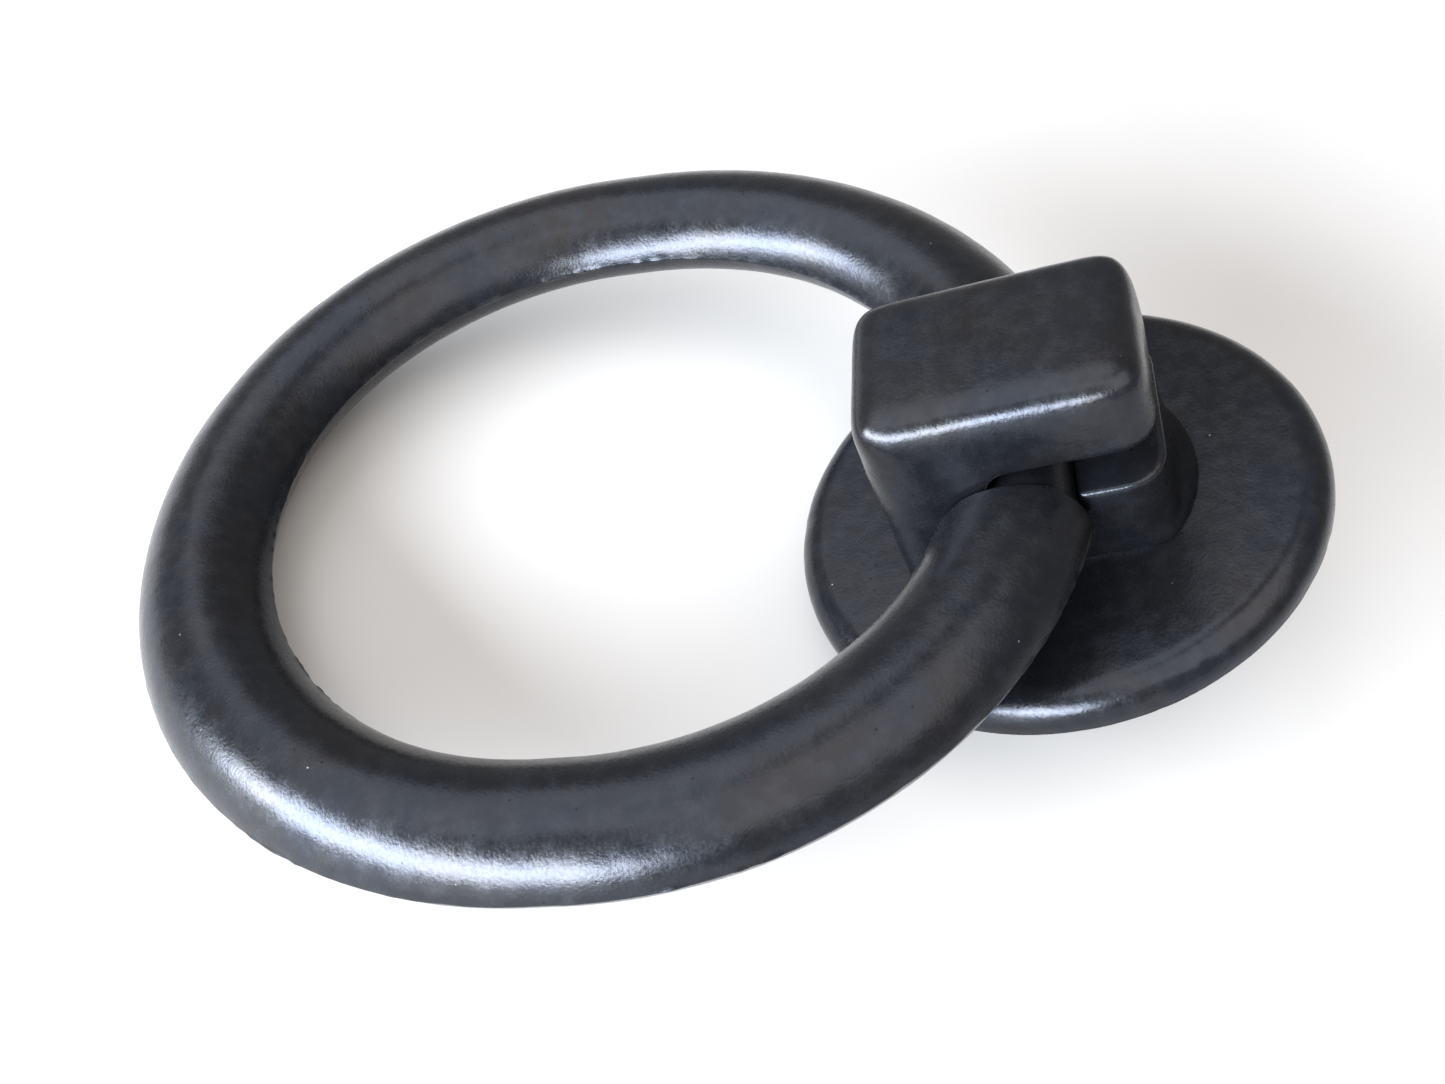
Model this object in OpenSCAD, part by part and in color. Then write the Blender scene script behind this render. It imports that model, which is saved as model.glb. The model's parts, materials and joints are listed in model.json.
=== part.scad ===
// Ring door knocker: a round rose, a hook block that stands on it, a heavy
// swinging ring and the threaded stud that holds the knocker on its door.
// Frame: +Z is up the door, +Y goes into the door and X is the ring's hinge.
// The middle of the rose's back face is the origin.

/* [Rose] */
// Diameter of the rose
rose_d = 60; // [56:1:70]
// Thickness of the rose
rose_t = 4.5; // [4:0.5:6]
// Rounding of the rose's front rim
rose_rim_r = 2.5; // [1:0.5:3]

/* [Hook block] */
// Width of the block, along the hinge
block_w = 22; // [20:1:24]
// Length of the block, up the door
block_l = 30.5; // [29:0.5:33]
// How far the block stands out from the rose
block_h = 24.5; // [22:0.5:26]
// How far the block's middle is below the rose's middle
block_drop = 1.5; // [1:0.5:3]
// Rounding of the block's four upright edges
block_corner_r = 4.5; // [2:0.5:5]
// Rounding of the edges round the block's outer face
block_edge_r = 3; // [1:0.5:4]
// Height of the open mouth in the block's upper end
mouth_h = 4.9; // [4:0.1:5.5]
// Thickness of the arm above the mouth
arm_t = 9.4; // [8:0.1:10]
// How far the foot spreads past the block's upper end
foot_spread = 3; // [1:0.5:4]

/* [Ring] */
// Width of the ring between its centre lines
ring_w = 92; // [86:1:98]
// Length of the short straight stretch at each side of the ring
ring_straight = 3.5; // [1:0.5:8]
// Width of the ring's section, in the plane of the ring
section_w = 15.8; // [13:0.2:16]
// Thickness of the ring's section
section_t = 11.6; // [11:0.1:12]
// Height of the blunt edge where the section's two round halves meet
section_edge = 0.5; // [0.2:0.1:1]
// Diameter of the round neck that turns in the block
neck_d = 10.6; // [9:0.2:10.6]
// Distance of the hinge axis from the door
hinge_out = 13; // [12.8:0.1:13.6]
// Distance of the hinge axis below the rose's middle
hinge_drop = 1; // [0:0.5:2]
// How far the ring is lifted off the door, degrees
ring_tilt = 9; // [0:1:30]

/* [Fixing] */
// Thread diameter of the fixing stud
stud_d = 6; // [5:1:6]
// How far the stud stands out behind the rose
stud_out = 14; // [8:1:30]
// Diameter of the spigot that centres the rose
spigot_d = 14; // [12:1:16]

/* [Hidden] */
$fn = 96;
EPS = 0.01;
iron = [0.22, 0.23, 0.25];
steel = [0.55, 0.56, 0.58];

// Fits
running_gap = 0.06;
rose_hole_gap = 0.2;
shoulder_gap = 0.5;
thread_gap = 0.05;

// Hook block, in a profile whose axes run up the door and out from it
block_low = -block_drop - block_l / 2;
block_high = -block_drop + block_l / 2;
block_out = rose_t + block_h;
mouth_top = block_out - arm_t;
mouth_floor = mouth_top - mouth_h;
mouth_end_r = mouth_h / 2;
mouth_depth_z = -hinge_drop - 1;
socket_r = neck_d / 2 + running_gap;
cove_h = mouth_floor - rose_t;
cove_r = (foot_spread * foot_spread + cove_h * cove_h) / (2 * foot_spread);
foot_r = block_high + foot_spread;
foot_start = block_high - block_corner_r;
spigot_inset = 0.3;

// Fixing stud, which ends in a web of iron below the socket
socket_web = 1.5;
stud_end = hinge_out - socket_r - socket_web;
stud_chamfer = 0.8;
undercut_start = 0.2;
undercut_w = 1;
undercut_depth = 0.4;

// Ring, in its own plane with the hinge axis at the top
ring_r = ring_w / 2;
ring_mid = -ring_r - ring_straight / 2;
shoulder_x = block_w / 2 + shoulder_gap;
shoulder_r = 3.2;
shoulder_margin = 0.9;
shoulder_out_r = section_w / 2 + shoulder_margin;
shoulder_mid_x = shoulder_x + shoulder_r / 2;
shoulder_drop = ring_r - sqrt(ring_r * ring_r - shoulder_mid_x * shoulder_mid_x);
neck_grip = 1;
half_rise = (section_t - section_edge) / 2;
half_arc_r = (section_w * section_w / 4 + half_rise * half_rise) / (2 * half_rise);
half_arc_y = half_arc_r - section_t / 2;

// Stands a shape drawn as [across, up the door] out from the door.
module out_from_door() {
    rotate([90, 0, 0])
        children();
}

// Lays a profile drawn as [up the door, out from it] along the hinge.
module along_hinge(width) {
    rotate(180, [1, 0, 1])
        linear_extrude(width, center = true)
            children();
}

// A rectangle with its corners rounded, its lower left corner at the origin.
module rounded_rect(size, r) {
    translate([r, 0])
        square([size[0] - 2 * r, size[1]]);
    translate([0, r])
        square([size[0], size[1] - 2 * r]);
    for (x = [r, size[0] - r], y = [r, size[1] - r])
        translate([x, y])
            circle(r);
}

module rose_profile() {
    hole_r = spigot_d / 2 + rose_hole_gap;
    rim_r = rose_d / 2;
    difference() {
        union() {
            square([rim_r, rose_t - rose_rim_r]);
            square([rim_r - rose_rim_r, rose_t]);
            translate([rim_r - rose_rim_r, rose_t - rose_rim_r])
                circle(rose_rim_r);
        }
        translate([-EPS, -EPS])
            square([hole_r + EPS, rose_t + 2 * EPS]);
        translate([0, -rose_rim_r])
            square([rim_r + EPS, rose_rim_r]);
    }
}

module rose() {
    color(iron)
        out_from_door()
            rotate_extrude()
                rose_profile();
}

// The block's side view: leg, arm, mouth and the socket the neck turns in.
module hook_profile() {
    difference() {
        translate([block_low, rose_t - block_edge_r])
            rounded_rect([block_l, block_h + block_edge_r], block_edge_r);
        translate([block_low - EPS, rose_t - block_edge_r - EPS])
            square([block_l + 2 * EPS, block_edge_r + EPS]);
        translate([mouth_depth_z, mouth_floor])
            square([block_l, mouth_h]);
        translate([mouth_depth_z, mouth_floor + mouth_end_r])
            circle(mouth_end_r);
        translate([-hinge_drop, hinge_out])
            circle(socket_r);
    }
}

module block_plan() {
    translate([-block_w / 2, block_low])
        rounded_rect([block_w, block_l], block_corner_r);
}

module block_end_view() {
    translate([-block_w / 2, rose_t - block_edge_r])
        rounded_rect([block_w, block_h + block_edge_r], block_edge_r);
}

// The foot spreads in a cove below the mouth, round like the rose.
module foot_profile() {
    difference() {
        translate([0, rose_t])
            square([foot_r, cove_h]);
        translate([block_high + cove_r, mouth_floor])
            circle(cove_r);
    }
}

module foot() {
    intersection() {
        out_from_door()
            rotate_extrude()
                foot_profile();
        translate([-block_w / 2, -block_out, foot_start])
            cube([block_w, block_out, foot_r - foot_start]);
    }
}

module rounded_block() {
    intersection() {
        along_hinge(block_w)
            hook_profile();
        out_from_door()
            linear_extrude(block_out)
                block_plan();
        translate([0, 0, block_low])
            linear_extrude(block_l)
                mirror([0, 1])
                    block_end_view();
    }
}

module hook_block() {
    color(iron)
        difference() {
            union() {
                rounded_block();
                foot();
                out_from_door()
                    translate([0, 0, spigot_inset])
                        cylinder(h = rose_t, d = spigot_d);
            }
            out_from_door()
                cylinder(h = stud_end, d = stud_d + 2 * thread_gap);
        }
}

// The ring's section: two shallow round halves that meet in a blunt edge,
// because the ring was cast in a mould of two halves.
module ring_section() {
    intersection() {
        translate([0, half_arc_y])
            circle(half_arc_r);
        translate([0, -half_arc_y])
            circle(half_arc_r);
        square([section_w, section_t], center = true);
    }
}

module ring_bow() {
    rotate_extrude(angle = 180)
        translate([ring_r, 0])
            ring_section();
}

module ring_hoop() {
    translate([0, ring_straight / 2, 0])
        ring_bow();
    translate([0, -ring_straight / 2, 0])
        rotate([0, 0, 180])
            ring_bow();
    for (side = [-1, 1])
        translate([side * ring_r, ring_straight / 2, 0])
            rotate([90, 0, 0])
                linear_extrude(ring_straight)
                    ring_section();
}

// What rounds off one shoulder: all that lies outside a quarter round.
module shoulder_round() {
    rotate_extrude()
        translate([shoulder_out_r - shoulder_r, 0])
            difference() {
                translate([0, -EPS])
                    square([section_w, shoulder_r + EPS]);
                translate([0, shoulder_r])
                    circle(shoulder_r);
            }
}

// Cuts the hoop open for the block and rounds the shoulder at each side.
module shoulder_cut() {
    rotate([0, 90, 0])
        cylinder(h = 2 * shoulder_x, r = section_w, center = true);
    for (side = [0, 1])
        mirror([side, 0, 0])
            translate([shoulder_x, -shoulder_drop, 0])
                rotate([0, 90, 0])
                    shoulder_round();
}

module ring_in_plane() {
    difference() {
        translate([0, ring_mid, 0])
            ring_hoop();
        shoulder_cut();
    }
    rotate([0, 90, 0])
        cylinder(h = 2 * (shoulder_x + neck_grip), d = neck_d, center = true);
}

module ring() {
    color(iron)
        translate([0, -hinge_out, -hinge_drop])
            rotate([90 - ring_tilt, 0, 0])
                ring_in_plane();
}

// Half of the stud's outline, with the undercut where its free thread ends.
module stud_profile() {
    r = stud_d / 2;
    core_r = r - undercut_depth;
    undercut_end = undercut_start + undercut_w;
    polygon([
        [0, -stud_out],
        [r - stud_chamfer, -stud_out],
        [r, stud_chamfer - stud_out],
        [r, undercut_start],
        [core_r, undercut_start],
        [core_r, undercut_end],
        [r, undercut_end],
        [r, stud_end],
        [0, stud_end],
    ]);
}

module fixing_stud() {
    color(steel)
        out_from_door()
            rotate_extrude()
                stud_profile();
}

rose();
hook_block();
ring();
fixing_stud();
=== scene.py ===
"""The looks of the ring door knocker, in Blender.

Four pieces stand for the four CAD nodes: a cast-iron rose, hook block and ring
with a dark waxed patina, and a zinc-plated threaded stud. Shapes are worked out
in millimetres, in the CAD frame, and become metres when a mesh is made.
"""

import itertools
import json
import math

import bpy
import numpy as np
from mathutils import Matrix, Vector


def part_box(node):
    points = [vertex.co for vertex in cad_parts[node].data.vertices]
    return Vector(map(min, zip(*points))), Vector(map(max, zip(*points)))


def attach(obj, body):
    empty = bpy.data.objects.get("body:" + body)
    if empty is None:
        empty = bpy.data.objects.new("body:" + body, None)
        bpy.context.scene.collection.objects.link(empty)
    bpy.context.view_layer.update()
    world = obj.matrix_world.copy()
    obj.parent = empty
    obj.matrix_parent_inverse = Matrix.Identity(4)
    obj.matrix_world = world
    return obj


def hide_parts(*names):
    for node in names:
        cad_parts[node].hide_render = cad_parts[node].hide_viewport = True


MM = 0.001

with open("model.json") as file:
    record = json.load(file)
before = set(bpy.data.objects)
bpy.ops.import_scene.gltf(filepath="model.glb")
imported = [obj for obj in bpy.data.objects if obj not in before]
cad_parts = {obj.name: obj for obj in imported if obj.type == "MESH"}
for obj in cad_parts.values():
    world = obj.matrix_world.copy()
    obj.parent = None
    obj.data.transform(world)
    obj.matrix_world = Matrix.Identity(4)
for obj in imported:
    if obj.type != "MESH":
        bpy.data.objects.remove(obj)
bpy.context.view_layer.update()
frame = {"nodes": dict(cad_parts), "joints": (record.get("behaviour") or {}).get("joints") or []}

# Lengths are in millimetres, except in the three lights.

# Ring: its section is a lens, because it was cast in a mould of two halves.
hinge = next(joint for joint in frame["joints"] if joint["name"] == "ring_swing")
HINGE = Vector(hinge["pos_m"]) / MM
RING_TILT = math.radians(9)
SECTION_W = 15.8
SECTION_T = 11.6
SECTION_EDGE = 0.5
STRAIGHT = 3.5
NECK_R = 5.3
SHOULDER_X = 11.5
SHOULDER_R = 3.2
SHOULDER_MARGIN = 0.9
SHOULDER_REACH = 12
SHOULDER_ROWS_END = 4.8
NECK_GRIP = 1
NECK_MARGIN = 0.03
SEAM_R = 0.45
SEAM_BAND_W = 1.2
FLASH_HALF_W = 0.14
FLASH_H = 0.13
NICK_HALF_W = 0.5
NICK_DEPTH = 0.2
RELIEF_FADE = 2

# Rose
ROSE_RIM_R = 3.4
ROSE_HOLE_R = 7.2
ROSE_BACK_CHAMFER = 0.4
ROSE_KNOCK_DEPTH = 0.2
ROSE_HOLE_CLEAR = 0.5
ROSE_BACK_CLEAR = 0.01

# Hook block: most of the easing is on its outer end, some on its foot.
BLOCK_VOXEL = 0.24
ARM_T = 9.4
MOUTH_H = 4.9
FOOT_START = 10
SOCKET_R = 5.36
SOCKET_CLEAR = 0.3
SOCKET_FADE = 1.5
ROSE_CLEAR = 0.3
EASE_ROUNDS = 150
EASE_OUTER = 0.6
EASE_FOOT = 0.2
EASE_REST = 0.05
EASE_CLEAR = 1
EASE_OUTER_FADE = 3
EASE_FOOT_FADE = 2
FOOT_EDGE_H = 0.5
FOOT_EDGE_FADE = 0.3
FOOT_SINK = 0.45
BURR_HALF_W = 0.22
BURR_H = 0.08

# Stud, with a metric thread. Its crest and its flank are shares of half a pitch.
STUD_R = 3.0
THREAD_PITCH = 1.0
THREAD_DEPTH = 0.61
THREAD_CREST = 0.12
THREAD_FLANK = 0.72
THREAD_STARTS_AT = 1.2
STUD_CHAMFER = 0.9

# Colours, as linear red, green and blue
IRON_BLUE = (0.0185, 0.0205, 0.0265)
IRON_BROWN = (0.0235, 0.0205, 0.0190)
IRON_WORN = (0.035, 0.0365, 0.043)
PIT = (0.009, 0.009, 0.010)
DUST = (0.32, 0.32, 0.33)
ZINC = (0.42, 0.42, 0.41)
ZINC_STAIN = (0.30, 0.30, 0.29)
TABLE_PALE = (0.47, 0.452, 0.439)
TABLE_DIM = (0.45, 0.432, 0.42)
ROOM = (0.98, 0.96, 0.94)
DAYLIGHT = (0.84, 0.92, 1.0)
SKY = (0.93, 0.96, 1.0)
LAMPLIGHT = (1.0, 0.97, 0.94)

# Stage
LIT_MIDDLE = (0, -10, -35)
TABLE_HALF_SIZE = 3000
STEEPEST_TABLE = math.radians(45)
ROOM_STRENGTH = 0.46
BACKDROP_STRENGTH = 0.85
WINDOW = dict(azimuth=43, elevation=18, distance=1.1, width=1.75, height=0.42, radiance=48)
SKY_GLOW = dict(azimuth=-20, elevation=56, distance=1.4, width=1.5, height=1.1, radiance=2.1)
CEILING = dict(azimuth=125, elevation=64, distance=1.4, width=1.6, height=1.6, radiance=2.1)

# Camera, as fitted to the outlines in the photograph
CAMERA_AT = (121.75, -139.22, 19.12)
CAMERA_SIGHT = (-0.64242, 0.70282, -0.30551)
CAMERA_LENS = 39.48
CAMERA_SENSOR = 36
CAMERA_ROLL = 79.1
CAMERA_NEAR = 5


def box_mm(node):
    """A CAD node's lowest and highest corners, in millimetres."""
    low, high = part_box(node)
    return Vector(low) / MM, Vector(high) / MM


# ---------------------------------------------------------------- noise


def lattice_values(cells, seed):
    """A repeatable random number from 0 to 1 for each lattice point."""
    mixed = cells.astype(np.int64) @ np.array([73856093, 19349663, 83492791])
    mixed = mixed + seed * 2654435761
    mixed = (mixed ^ (mixed >> 13)) * 1274126177
    return ((mixed ^ (mixed >> 16)) & 0xFFFF) / 0xFFFF


def noise(points, size, seed):
    """Smooth random values from -1 to 1 at each point, in lumps of the given size."""
    cells = points / size
    corner = np.floor(cells)
    t = cells - corner
    t = t * t * (3 - 2 * t)
    total = np.zeros(len(points))
    for offset in itertools.product((0, 1), repeat=3):
        step = np.array(offset)
        weight = np.prod(np.where(step, t, 1 - t), axis=1)
        total += weight * lattice_values(corner + step, seed)
    return 2 * total - 1


def casting_relief(points, seed):
    """How far a dressed casting stands off its true shape, in millimetres."""
    waves = 0.05 * noise(points, 9.0, seed)
    lumps = 0.022 * noise(points, 2.6, seed + 1)
    grain = 0.008 * noise(points, 0.9, seed + 2)
    return waves + lumps + grain


# ---------------------------------------------------------------- meshes


def new_piece(name, mesh, body, node, sharp_angle=40):
    """Puts a mesh in the scene as the piece that stands for a CAD node."""
    mesh.shade_smooth()
    mesh.set_sharp_from_angle(angle=math.radians(sharp_angle))
    piece = bpy.data.objects.new(name, mesh)
    bpy.context.scene.collection.objects.link(piece)
    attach(piece, body)
    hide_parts(node)
    return piece


def loft(name, rows, closed):
    """A mesh through rows of points in millimetres, each row a closed loop.

    The rows close into a torus, or else both ends are capped.
    """
    count, around = rows.shape[:2]
    index = np.arange(count * around).reshape(count, around)
    first = index if closed else index[:-1]
    second = np.roll(index, -1, axis=0) if closed else index[1:]
    quads = np.stack(
        [first, np.roll(first, -1, axis=1), np.roll(second, -1, axis=1), second], axis=-1
    )
    faces = quads.reshape(-1, 4).tolist()
    if not closed:
        faces.append(index[0][::-1].tolist())
        faces.append(index[-1].tolist())
    mesh = bpy.data.meshes.new(name)
    mesh.from_pydata((rows.reshape(-1, 3) * MM).tolist(), [], faces)
    mesh.validate()
    return mesh


def face_outward(mesh):
    """Turns the faces round if the mesh is inside out, which shows in its signed volume."""
    triangles = [tuple(t.vertices) for t in mesh.loop_triangles]
    points = vertex_places(mesh)
    a, b, c = (points[[t[k] for t in triangles]] for k in range(3))
    volume = np.einsum("ij,ij->i", a, np.cross(b, c)).sum()
    if volume < 0:
        mesh.flip_normals()


def vertex_places(mesh):
    """The mesh's vertices, in millimetres."""
    places = np.empty(len(mesh.vertices) * 3)
    mesh.vertices.foreach_get("co", places)
    return places.reshape(-1, 3) / MM


def move_vertices(mesh, places):
    """Puts the mesh's vertices at places in millimetres."""
    mesh.vertices.foreach_set("co", (places * MM).ravel())
    mesh.update()


def vertex_directions(mesh):
    """The direction that the surface faces at each vertex."""
    directions = np.empty(len(mesh.vertices) * 3)
    mesh.vertex_normals.foreach_get("vector", directions)
    return directions.reshape(-1, 3)


def raise_surface(mesh, height):
    """Moves each vertex out along its normal by its own height in millimetres."""
    move_vertices(mesh, vertex_places(mesh) + vertex_directions(mesh) * height[:, None])


# ---------------------------------------------------------------- ring


def section_outline(arc_points=44, seam_points=9):
    """The lens-shaped section, as columns: outward in the ring's plane, and across it."""
    rise = (SECTION_T - SECTION_EDGE) / 2
    arc_r = (SECTION_W**2 / 4 + rise**2) / (2 * rise)
    centre = arc_r - SECTION_T / 2
    seam_x = math.sqrt((arc_r - SEAM_R) ** 2 - centre**2)
    reach = math.atan2(seam_x, centre)
    arc = np.linspace(reach, -reach, arc_points)
    half = np.stack([arc_r * np.sin(arc), arc_r * np.cos(arc) - centre], axis=1)
    turn = np.linspace(reach, math.pi - reach, seam_points + 2)[1:-1]
    seam = np.stack([-seam_x - SEAM_R * np.sin(turn), SEAM_R * np.cos(turn)], axis=1)
    return np.vstack([half, seam, -half, -seam])


def along_hoop(distance, out, across, ring_r):
    """Points of the hoop in the ring's plane, distance being measured round its centre line."""
    quarter = ring_r * math.pi / 2
    turned = np.clip(distance, 0, quarter) + np.clip(distance - quarter - STRAIGHT, 0, quarter)
    slid = np.clip(distance - quarter, 0, STRAIGHT)
    angle = turned / ring_r
    x = (ring_r + out) * np.sin(angle)
    y = (ring_r + out) * np.cos(angle) - ring_r - slid
    return np.stack([x, y, across], axis=-1)


def shoulder_limit(x):
    """How far the rounded shoulder reaches from its own middle, at x along the hinge."""
    face_r = SECTION_W / 2 + SHOULDER_MARGIN - SHOULDER_R
    inset = np.clip(SHOULDER_R - (x - SHOULDER_X), 0, SHOULDER_R)
    return face_r + np.sqrt(SHOULDER_R**2 - inset**2)


def round_shoulder(points, ring_r):
    """Draws the hoop's end in to the shoulder's rounding, but never inside the neck."""
    x, y, z = points[..., 0], points[..., 1], points[..., 2]
    middle_x = SHOULDER_X + SHOULDER_R / 2
    drop = ring_r - math.sqrt(ring_r**2 - middle_x**2)
    at_top = y > -ring_r
    near = at_top & (x < SHOULDER_X + SHOULDER_R)
    far = np.hypot(y + drop, z)
    scale = np.where(near, np.minimum(1, shoulder_limit(x) / far), 1)
    y = (y + drop) * scale - drop
    z = z * scale
    at_neck = at_top & (x < SHOULDER_X + NECK_GRIP)
    grow = np.where(at_neck, np.maximum(1, (NECK_R + NECK_MARGIN) / np.hypot(y, z)), 1)
    return np.stack([x, y * grow, z * grow], axis=-1)


def half_ring(ring_r, step=0.4, shoulder_step=0.16):
    """Rows of the ring's right half in its own plane, from the shoulder to the bottom."""
    outline = section_outline()
    out, across = outline[:, 0], outline[:, 1]
    whole = ring_r * math.pi + STRAIGHT
    cut = ring_r * np.arcsin(SHOULDER_X / (ring_r + out))
    run = whole - SHOULDER_X
    near = np.arange(0, SHOULDER_ROWS_END, shoulder_step)
    rest = np.linspace(SHOULDER_ROWS_END, run, int(run / step))
    share = np.concatenate([near, rest]) / run
    distance = cut + (whole - cut) * share[:, None]
    points = along_hoop(distance, out + 0 * distance, across + 0 * distance, ring_r)
    return round_shoulder(points, ring_r)


def neck_rows(shoulder_row, count=12):
    """Rows of the round neck, from the left shoulder to the right one."""
    angle = np.arctan2(shoulder_row[:, 2], shoulder_row[:, 1])
    circle = np.stack([NECK_R * np.cos(angle), NECK_R * np.sin(angle)], axis=1)
    rows = []
    for x in np.linspace(-SHOULDER_X, SHOULDER_X, count):
        rows.append(np.column_stack([np.full(len(circle), x), circle]))
    return np.stack(rows)


def seam_flash(points, edge):
    """The mould joint's thin flash: a broken line of metal along the ring's two edges."""
    lumps = np.clip(noise(points, 1.1, 41) + 0.25, 0, 1)
    stretches = np.clip(noise(points, 7.0, 42) + 0.4, 0, 1)
    return FLASH_H * edge * lumps * (0.25 + stretches)


def edge_nicks(points, edge):
    """Small knocks that the ring's edges have taken."""
    knocks = np.clip(noise(points, 3.4, 43) - 0.45, 0, 1)
    return -NICK_DEPTH * np.sqrt(edge) * knocks


def ring_plane_to_frame(points):
    """Tilts points from the ring's plane and hangs them on the hinge."""
    x, y, z = points[..., 0], points[..., 1], points[..., 2]
    sine, cosine = math.sin(RING_TILT), math.cos(RING_TILT)
    turned = np.stack([x, y * sine - z * cosine, y * cosine + z * sine], axis=-1)
    return turned + np.array(HINGE)


def seam_nearness(half_w, row_count):
    """1 on the mould seam and 0 off it, for each point of that many rows of the section."""
    out, across = section_outline().T
    in_band = np.abs(out) > SECTION_W / 2 - SEAM_BAND_W
    return np.tile(np.exp(-((np.abs(across) / half_w) ** 2)) * in_band, row_count)


def clear_of_block(points):
    """0 where the ring faces the block, and 1 beyond the start of the shoulders' relief."""
    beside_block = points[:, 1] >= -SHOULDER_REACH
    from_block = np.clip((np.abs(points[:, 0]) - SHOULDER_X) / RELIEF_FADE, 0, 1)
    return np.where(beside_block, from_block, 1.0)


def make_ring():
    """The ring, as one closed loft through its right half, its left half and its neck."""
    low, high = box_mm("ring")
    ring_r = (high.x - low.x - SECTION_W) / 2
    right = half_ring(ring_r)
    left = right[-2::-1] * [-1, 1, 1]
    rows = np.concatenate([right, left, neck_rows(right[0])])
    mesh = loft("ring_iron_mesh", ring_plane_to_frame(rows), closed=True)
    face_outward(mesh)
    flat = rows.reshape(-1, 3)
    hoop = np.arange(len(flat)) < (len(right) + len(left)) * rows.shape[1]
    flash = seam_flash(flat, seam_nearness(FLASH_HALF_W, len(rows)))
    nicks = edge_nicks(flat, seam_nearness(NICK_HALF_W, len(rows)))
    height = casting_relief(flat, 40) + flash + nicks
    raise_surface(mesh, height * clear_of_block(flat) * hoop)
    return new_piece("ring_casting", mesh, "knocker_ring", "ring", sharp_angle=60)


# ---------------------------------------------------------------- rose


def rose_outline(radius, thickness):
    """Half of the rose's section as columns: distance from its axis, and out from the door."""
    rim = np.radians(np.linspace(0, 90, 16))
    rim_x = radius - ROSE_RIM_R + ROSE_RIM_R * np.cos(rim)
    rim_out = thickness - ROSE_RIM_R + ROSE_RIM_R * np.sin(rim)
    wall_out = np.linspace(ROSE_BACK_CHAMFER, thickness - ROSE_RIM_R, 6)[:-1]
    face_x = np.linspace(radius - ROSE_RIM_R, ROSE_HOLE_R, 60)[1:]
    hole_out = np.linspace(thickness, 0, 8)[1:]
    back_x = np.linspace(ROSE_HOLE_R, radius - ROSE_BACK_CHAMFER, 44)[1:]
    wall = np.column_stack([np.full(len(wall_out), radius), wall_out])
    face = np.column_stack([face_x, np.full(len(face_x), thickness)])
    hole = np.column_stack([np.full(len(hole_out), ROSE_HOLE_R), hole_out])
    back = np.column_stack([back_x, np.zeros(len(back_x))])
    return np.vstack([wall, np.column_stack([rim_x, rim_out]), face, hole, back])


def make_rose(segments=540):
    """The rose, turned from its section, with small knocks in its rim."""
    low, high = box_mm("rose")
    radius = (high.x - low.x) / 2
    outline = rose_outline(radius, high.y - low.y)
    turn = np.linspace(0, 2 * math.pi, segments, endpoint=False)
    across, out = outline[:, 0], outline[:, 1]
    rows = np.stack(
        [
            np.outer(np.cos(turn), across),
            np.tile(-out, (segments, 1)),
            np.outer(np.sin(turn), across),
        ],
        axis=-1,
    )
    mesh = loft("rose_iron_mesh", rows, closed=True)
    face_outward(mesh)
    flat = rows.reshape(-1, 3)
    from_axis = np.hypot(flat[:, 0], flat[:, 2])
    outside = (from_axis > ROSE_HOLE_R + ROSE_HOLE_CLEAR) & (flat[:, 1] < -ROSE_BACK_CLEAR)
    at_rim = np.clip((from_axis - radius + ROSE_RIM_R) / ROSE_RIM_R, 0, 1)
    knocks = np.clip(noise(flat, 2.8, 24) - 0.55, 0, 1)
    height = casting_relief(flat, 20) - ROSE_KNOCK_DEPTH * at_rim * knocks
    raise_surface(mesh, height * outside)
    return new_piece("rose_casting", mesh, "backplate", "rose")


# ---------------------------------------------------------------- hook block


def remeshed(node):
    """An even, finely divided copy of a CAD node's mesh."""
    copy = bpy.data.objects.new("block_draft", frame["nodes"][node].data.copy())
    bpy.context.scene.collection.objects.link(copy)
    voxels = copy.modifiers.new("voxels", "REMESH")
    voxels.mode = "VOXEL"
    voxels.voxel_size = BLOCK_VOXEL * MM
    shown = copy.evaluated_get(bpy.context.evaluated_depsgraph_get())
    mesh = bpy.data.meshes.new_from_object(shown)
    bpy.data.objects.remove(copy)
    mesh.materials.clear()
    return mesh


def ease_edges(mesh, share, rounds):
    """Draws each vertex towards its neighbours by its own share, which rounds the edges."""
    ends = np.empty(len(mesh.edges) * 2, dtype=np.int64)
    mesh.edges.foreach_get("vertices", ends)
    first, second = ends.reshape(-1, 2).T
    count = len(mesh.vertices)
    neighbours = np.bincount(first, minlength=count) + np.bincount(second, minlength=count)
    places = vertex_places(mesh)
    for _ in range(rounds):
        total = np.empty_like(places)
        for axis in range(3):
            total[:, axis] = np.bincount(first, places[second, axis], count)
            total[:, axis] += np.bincount(second, places[first, axis], count)
        places += (total / neighbours[:, None] - places) * share[:, None]
    move_vertices(mesh, places)


def keep_socket_open(mesh):
    """Moves out any vertex inside the neck's socket; gives what each had from the hinge."""
    places = vertex_places(mesh)
    offset = places[:, 1:] - np.array(HINGE)[1:]
    from_hinge = np.hypot(offset[:, 0], offset[:, 1])
    grow = np.maximum(1, SOCKET_R / np.maximum(from_hinge, 0.1))
    places[:, 1:] = np.array(HINGE)[1:] + offset * grow[:, None]
    move_vertices(mesh, places)
    return from_hinge


def bed_on_rose(mesh, rose_face):
    """Sinks the block's lowest edge into the rose, so that no gap shows round its foot."""
    places = vertex_places(mesh)
    lowest = np.clip((places[:, 1] - rose_face + FOOT_EDGE_H) / FOOT_EDGE_FADE, 0, 1)
    lowest = lowest * (np.hypot(places[:, 0], places[:, 2]) > ROSE_HOLE_R)
    places[:, 1] += FOOT_SINK * lowest
    move_vertices(mesh, places)


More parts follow.
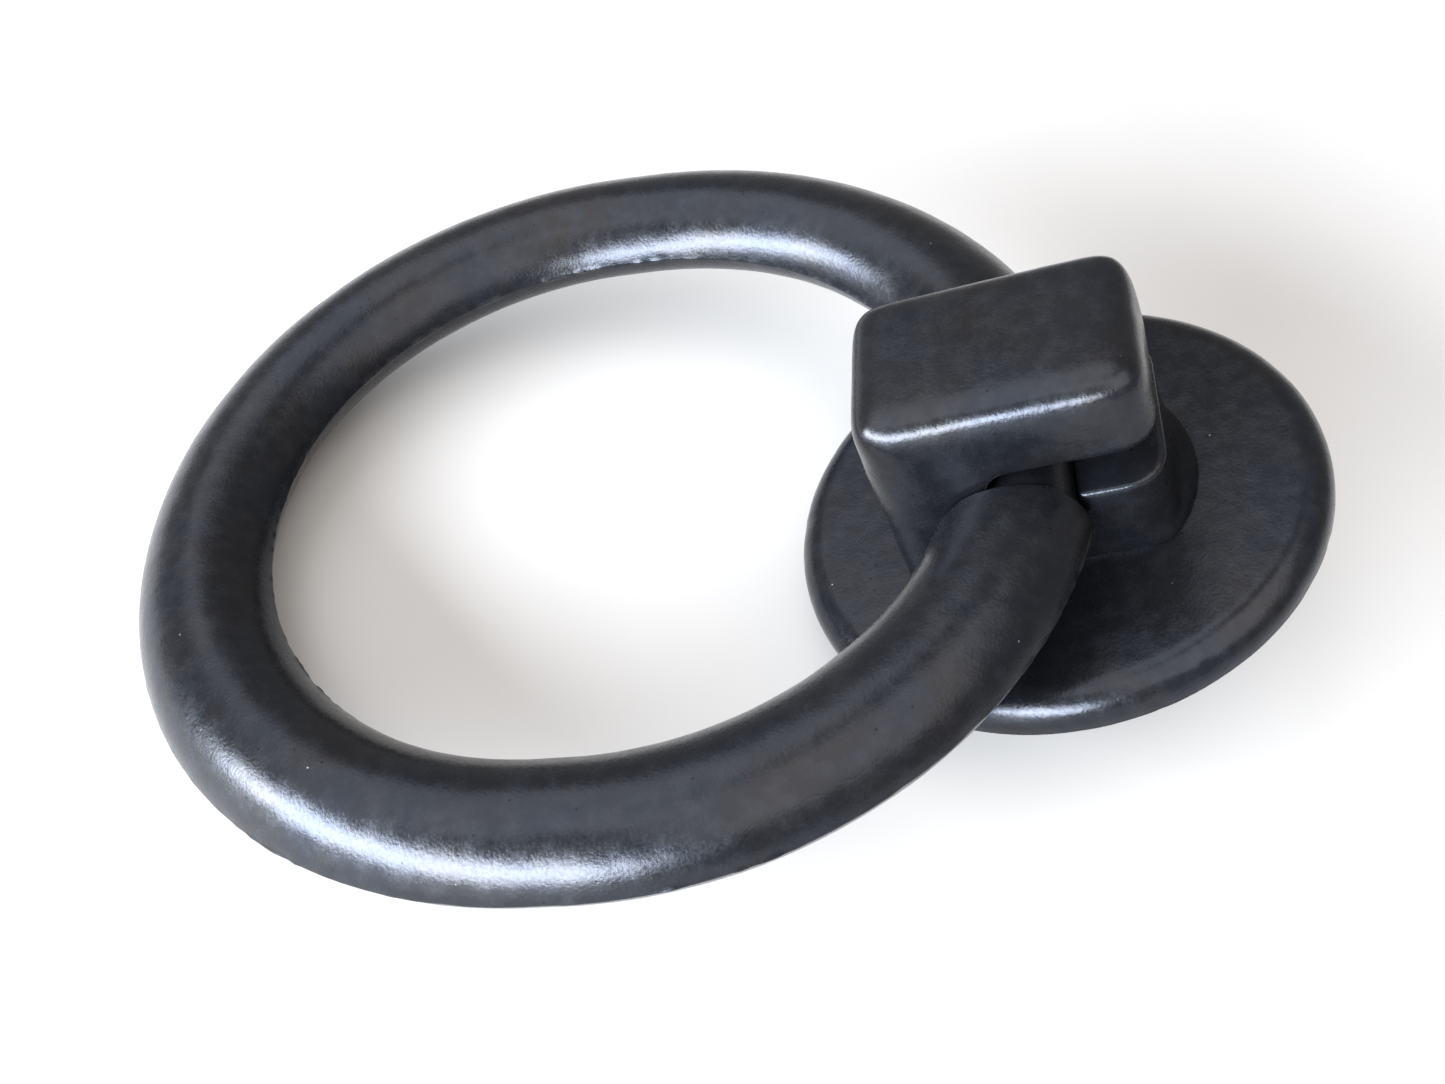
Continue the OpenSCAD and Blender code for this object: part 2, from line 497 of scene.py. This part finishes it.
def mouth_burr(places, arm_under):
    """The thin burr left along the lower edge of the arm above the mouth."""
    at_edge = np.exp(-(((places[:, 1] - arm_under) / BURR_HALF_W) ** 2))
    at_mouth = places[:, 2] > HINGE.z + SOCKET_R
    return BURR_H * at_edge * at_mouth * np.clip(noise(places, 1.6, 63) + 0.5, 0, 1)


def easing_share(places, arm_under):
    """How strongly each vertex of the block is eased: most on its outer end."""
    outer = np.clip((arm_under - EASE_CLEAR - places[:, 1]) / EASE_OUTER_FADE, 0, 1)
    foot = np.clip((places[:, 1] - arm_under - MOUTH_H - EASE_CLEAR) / EASE_FOOT_FADE, 0, 1)
    foot = foot * np.clip((places[:, 2] - FOOT_START) / EASE_FOOT_FADE, 0, 1)
    return np.maximum(EASE_REST, np.maximum(EASE_OUTER * outer, EASE_FOOT * foot))


def make_block():
    """The block, with relief everywhere but in the socket and where it meets the rose."""
    mesh = remeshed("hook_block")
    arm_under = box_mm("hook_block")[0].y + ARM_T
    rose_face = box_mm("rose")[0].y
    ease_edges(mesh, easing_share(vertex_places(mesh), arm_under), EASE_ROUNDS)
    bed_on_rose(mesh, rose_face)
    from_hinge = keep_socket_open(mesh)
    places = vertex_places(mesh)
    clear = np.clip((from_hinge - SOCKET_R - SOCKET_CLEAR) / SOCKET_FADE, 0, 1)
    clear = clear * (places[:, 1] < rose_face - ROSE_CLEAR)
    height = casting_relief(places, 60) + mouth_burr(places, arm_under)
    raise_surface(mesh, height * clear)
    return new_piece("hook_block_casting", mesh, "backplate", "hook_block", sharp_angle=60)


# ---------------------------------------------------------------- stud


def thread_depth(turns):
    """How deep the thread is, from 0 at its crest to 1 at its root, after that many turns."""
    phase = np.abs((turns % 1) * 2 - 1)
    return np.clip((phase - THREAD_CREST) / THREAD_FLANK, 0, 1)


def make_stud(around=96, step=0.07):
    """The stud, with a real thread that starts just behind the rose's back face."""
    low, high = box_mm("fixing_stud")
    count = int((high.y - low.y) / step)
    along = np.linspace(high.y, low.y, count)[:, None]
    angle = np.linspace(0, 2 * math.pi, around, endpoint=False)[None, :]
    turns = along / THREAD_PITCH - angle / (2 * math.pi)
    runout = np.clip((along - THREAD_STARTS_AT) / THREAD_PITCH, 0, 1)
    chamfer = np.clip(STUD_CHAMFER - (high.y - along), 0, STUD_CHAMFER)
    thread_r = STUD_R - THREAD_DEPTH * thread_depth(turns) * runout
    radius = np.minimum(thread_r, STUD_R - chamfer)
    rows = np.stack(
        [radius * np.cos(angle), along + 0 * radius, radius * np.sin(angle)], axis=-1
    )
    mesh = loft("stud_steel_mesh", rows, closed=False)
    face_outward(mesh)
    return new_piece("threaded_stud", mesh, "backplate", "fixing_stud", sharp_angle=35)


# ---------------------------------------------------------------- materials


class Nodes:
    """Builds one material's node tree with few words."""

    def __init__(self, name):
        self.material = bpy.data.materials.new(name)
        self.material.use_nodes = True
        self.tree = self.material.node_tree
        self.shader = self.tree.nodes["Principled BSDF"]
        self.place = self.add("ShaderNodeTexCoord").outputs["Object"]

    def add(self, kind, **settings):
        """A new node; each setting is one of its properties or else one of its inputs."""
        node = self.tree.nodes.new(kind)
        for key, value in settings.items():
            if hasattr(node, key):
                setattr(node, key, value)
            else:
                node.inputs[key].default_value = value
        return node

    def link(self, source, target):
        self.tree.links.new(source, target)

    def moved(self, offset, scale=(1, 1, 1)):
        """The object's coordinates, scaled and shifted."""
        node = self.add("ShaderNodeMapping", Location=offset, Scale=scale)
        self.link(self.place, node.inputs["Vector"])
        return node.outputs["Vector"]

    def noise(self, place, size_mm, detail, distortion=0.0):
        """Noise from 0 to 1, in lumps of the given size."""
        node = self.add("ShaderNodeTexNoise")
        node.inputs["Scale"].default_value = 1 / (size_mm * MM)
        node.inputs["Detail"].default_value = detail
        node.inputs["Roughness"].default_value = 0.55
        node.inputs["Distortion"].default_value = distortion
        self.link(place, node.inputs["Vector"])
        return node.outputs["Fac"]

    def cells(self, place, size_mm):
        """Distance to the nearest of many scattered points, in cells."""
        node = self.add("ShaderNodeTexVoronoi")
        node.inputs["Scale"].default_value = 1 / (size_mm * MM)
        self.link(place, node.inputs["Vector"])
        return node.outputs["Distance"]

    def ramp(self, value, low, high, to_low=0.0, to_high=1.0):
        """Maps low..high of a value onto to_low..to_high, and clamps it."""
        node = self.add("ShaderNodeMapRange", clamp=True)
        numbers = {"From Min": low, "From Max": high, "To Min": to_low, "To Max": to_high}
        for key, number in numbers.items():
            node.inputs[key].default_value = number
        self.link(value, node.inputs["Value"])
        return node.outputs["Result"]

    def total(self, a, b):
        """The sum of two values."""
        node = self.add("ShaderNodeMath", operation="ADD")
        self.link(a, node.inputs[0])
        self.link(b, node.inputs[1])
        return node.outputs["Value"]

    def mix(self, share, a, b):
        """Mixes two colours, each a tuple or a socket."""
        node = self.add("ShaderNodeMix", data_type="RGBA")
        self.link(share, node.inputs["Factor"])
        for socket, value in zip((node.inputs[6], node.inputs[7]), (a, b)):
            if isinstance(value, tuple):
                socket.default_value = (*value, 1)
            else:
                self.link(value, socket)
        return node.outputs[2]

    def bump(self, heights):
        """Chains height maps, each with its own depth in millimetres, into the normal."""
        normal = None
        for height, depth_mm in heights:
            node = self.add("ShaderNodeBump")
            node.inputs["Distance"].default_value = depth_mm * MM
            self.link(height, node.inputs["Height"])
            if normal is not None:
                self.link(normal, node.inputs["Normal"])
            normal = node.outputs["Normal"]
        self.link(normal, self.shader.inputs["Normal"])


def cast_iron(name, offset, streak_scale=None):
    """Cast iron under a dark waxed patina: mottled, finely pitted, with a few dust specks.

    The offset gives each piece its own part of the pattern. A streak scale adds the fine marks
    of a file, which are long along each axis whose factor is small.
    """
    nodes = Nodes(name)
    place = nodes.moved(offset)
    mottle = nodes.noise(place, 11.0, detail=5.0, distortion=0.6)
    bloom = nodes.noise(place, 2.0, detail=8.0)
    grain = nodes.noise(place, 0.36, detail=4.0)
    pit_distance = nodes.cells(place, 2.1)
    speck_distance = nodes.cells(place, 4.6)
    brown = nodes.ramp(mottle, 0.40, 0.76, 0.0, 0.7)
    pale = nodes.ramp(bloom, 0.42, 0.76, 0.0, 0.45)
    colour = nodes.mix(brown, IRON_BLUE, IRON_BROWN)
    colour = nodes.mix(pale, colour, IRON_WORN)
    pits = nodes.ramp(pit_distance, 0.03, 0.09)
    colour = nodes.mix(pits, PIT, colour)
    specks = nodes.ramp(speck_distance, 0.014, 0.026, 1.0, 0.0)
    colour = nodes.mix(specks, colour, DUST)
    nodes.link(colour, nodes.shader.inputs["Base Color"])
    worn = nodes.ramp(bloom, 0.3, 0.7, -0.05, 0.05)
    grainy = nodes.ramp(grain, 0.3, 0.7, 0.20, 0.30)
    nodes.link(nodes.total(worn, grainy), nodes.shader.inputs["Roughness"])
    heights = [(grain, 0.026), (pits, 0.012), (bloom, 0.022)]
    if streak_scale:
        streaks = nodes.noise(nodes.moved(offset, streak_scale), 1.0, detail=3.0)
        heights.append((streaks, 0.012))
    nodes.bump(heights)
    nodes.shader.inputs["Metallic"].default_value = 0.8
    return nodes.material


def zinc_steel(name):
    """Dull zinc plate on rolled steel, stained in clouds."""
    nodes = Nodes(name)
    place = nodes.moved((0.03, 0.01, 0.02))
    cloud = nodes.noise(place, 2.4, detail=5.0)
    grain = nodes.noise(place, 0.2, detail=3.0)
    colour = nodes.mix(nodes.ramp(cloud, 0.4, 0.7), ZINC, ZINC_STAIN)
    nodes.link(colour, nodes.shader.inputs["Base Color"])
    nodes.link(nodes.ramp(cloud, 0.3, 0.7, 0.32, 0.5), nodes.shader.inputs["Roughness"])
    nodes.bump([(grain, 0.006)])
    nodes.shader.inputs["Metallic"].default_value = 1.0
    return nodes.material


def finish_piece(piece, material):
    """Gives a piece its material."""
    piece.data.materials.append(material)


# ---------------------------------------------------------------- stage


def resting_slope(ring):
    """The slope of the table that the stud's end and the ring's far side rest on.

    Halves the range of slopes until both reach the table. Gives how far it is down, too.
    """
    stud_end = box_mm("fixing_stud")[1].y
    points = vertex_places(ring.data)
    low, high = 0.0, STEEPEST_TABLE
    for _ in range(40):
        slope = (low + high) / 2
        down = np.array([0, math.cos(slope), -math.sin(slope)])
        ring_reach = (points @ down).max()
        stud_reach = stud_end * math.cos(slope) + STUD_R * math.sin(slope)
        if ring_reach > stud_reach:
            high = slope
        else:
            low = slope
    return slope, stud_reach


def table_material():
    """A pale matt table top that can be seen through from behind."""
    nodes = Nodes("pale_table")
    cloud = nodes.noise(nodes.place, 60.0, detail=3.0)
    colour = nodes.mix(nodes.ramp(cloud, 0.3, 0.7), TABLE_PALE, TABLE_DIM)
    nodes.link(colour, nodes.shader.inputs["Base Color"])
    nodes.shader.inputs["Roughness"].default_value = 0.6
    clear = nodes.add("ShaderNodeBsdfTransparent")
    choose = nodes.add("ShaderNodeMixShader")
    behind = nodes.add("ShaderNodeNewGeometry").outputs["Backfacing"]
    nodes.link(behind, choose.inputs["Fac"])
    nodes.link(nodes.shader.outputs["BSDF"], choose.inputs[1])
    nodes.link(clear.outputs["BSDF"], choose.inputs[2])
    output = nodes.tree.nodes["Material Output"]
    nodes.link(choose.outputs["Shader"], output.inputs["Surface"])
    return nodes.material


def make_table(ring):
    """The table that the knocker lies on. Gives the direction straight up from it."""
    slope, reach = resting_slope(ring)
    up = Vector((0, -math.cos(slope), math.sin(slope)))
    size = TABLE_HALF_SIZE * MM
    mesh = bpy.data.meshes.new("table_mesh")
    corners = [(-size, -size, 0), (size, -size, 0), (size, size, 0), (-size, size, 0)]
    mesh.from_pydata(corners, [], [(0, 1, 2, 3)])
    mesh.materials.append(table_material())
    table = bpy.data.objects.new("table", mesh)
    facing = up.to_track_quat("Z", "Y").to_matrix().to_4x4()
    table.matrix_world = Matrix.Translation(up * -reach * MM) @ facing
    bpy.context.scene.collection.objects.link(table)
    return up


def table_direction(up, azimuth, elevation):
    """A direction by its elevation above the table, and its azimuth from the ring's far end."""
    azimuth, elevation = math.radians(azimuth), math.radians(elevation)
    ahead = Vector((1, 0, 0)).cross(up)
    level = Vector((1, 0, 0)) * math.sin(azimuth) + ahead * math.cos(azimuth)
    return level * math.cos(elevation) + up * math.sin(elevation)


def area_light(name, up, colour, azimuth, elevation, distance, width, height, radiance):
    """A soft rectangular light that faces the object, its width level with the table.

    The angles are in degrees, and the distance, width and height are in metres.
    """
    data = bpy.data.lights.new(name, "AREA")
    data.shape = "RECTANGLE"
    data.size = width
    data.size_y = height
    data.energy = radiance * math.pi * width * height
    data.color = colour
    lamp = bpy.data.objects.new(name, data)
    toward = table_direction(up, azimuth, elevation)
    across = up.cross(toward).normalized()
    axes = Matrix((across, toward.cross(across), toward)).transposed()
    lamp.location = Vector(LIT_MIDDLE) * MM + toward * distance
    lamp.rotation_mode = "QUATERNION"
    lamp.rotation_quaternion = axes.to_quaternion()
    bpy.context.scene.collection.objects.link(lamp)


def make_room():
    """A dim, even light from all round. Only the camera sees a backdrop as pale as the table."""
    world = bpy.data.worlds.new("room")
    world.use_nodes = True
    tree = world.node_tree
    room = tree.nodes["Background"]
    backdrop = tree.nodes.new("ShaderNodeBackground")
    for shade, strength in ((room, ROOM_STRENGTH), (backdrop, BACKDROP_STRENGTH)):
        shade.inputs["Color"].default_value = (*ROOM, 1)
        shade.inputs["Strength"].default_value = strength
    choose = tree.nodes.new("ShaderNodeMixShader")
    seen = tree.nodes.new("ShaderNodeLightPath").outputs["Is Camera Ray"]
    tree.links.new(seen, choose.inputs["Fac"])
    tree.links.new(room.outputs["Background"], choose.inputs[1])
    tree.links.new(backdrop.outputs["Background"], choose.inputs[2])
    output = tree.nodes["World Output"]
    tree.links.new(choose.outputs["Shader"], output.inputs["Surface"])
    bpy.context.scene.world = world


def make_camera():
    """The camera at the photograph's viewing angle."""
    data = bpy.data.cameras.new("camera")
    data.sensor_width = CAMERA_SENSOR
    data.lens = CAMERA_LENS
    data.clip_start = CAMERA_NEAR * MM
    camera = bpy.data.objects.new("camera", data)
    camera.location = Vector(CAMERA_AT) * MM
    sight = Vector(CAMERA_SIGHT)
    camera.rotation_mode = "QUATERNION"
    roll = Matrix.Rotation(math.radians(CAMERA_ROLL), 4, "Z").to_quaternion()
    camera.rotation_quaternion = sight.to_track_quat("-Z", "Y") @ roll
    bpy.context.scene.collection.objects.link(camera)
    bpy.context.scene.camera = camera


ring = make_ring()
rose = make_rose()
block = make_block()
stud = make_stud()
finish_piece(ring, cast_iron("patinated_iron_ring", (0.11, 0.02, 0.05)))
finish_piece(rose, cast_iron("patinated_iron_rose", (0.31, 0.17, 0.09)))
finish_piece(
    block,
    cast_iron("patinated_iron_block", (0.23, 0.41, 0.13), streak_scale=(0.12, 0.12, 3.0)),
)
finish_piece(stud, zinc_steel("zinc_plated_steel"))

table_up = make_table(ring)
make_room()
area_light("window", table_up, DAYLIGHT, **WINDOW)
area_light("sky_glow", table_up, SKY, **SKY_GLOW)
area_light("ceiling", table_up, LAMPLIGHT, **CEILING)
make_camera()

bpy.context.scene.view_settings.view_transform = "Standard"
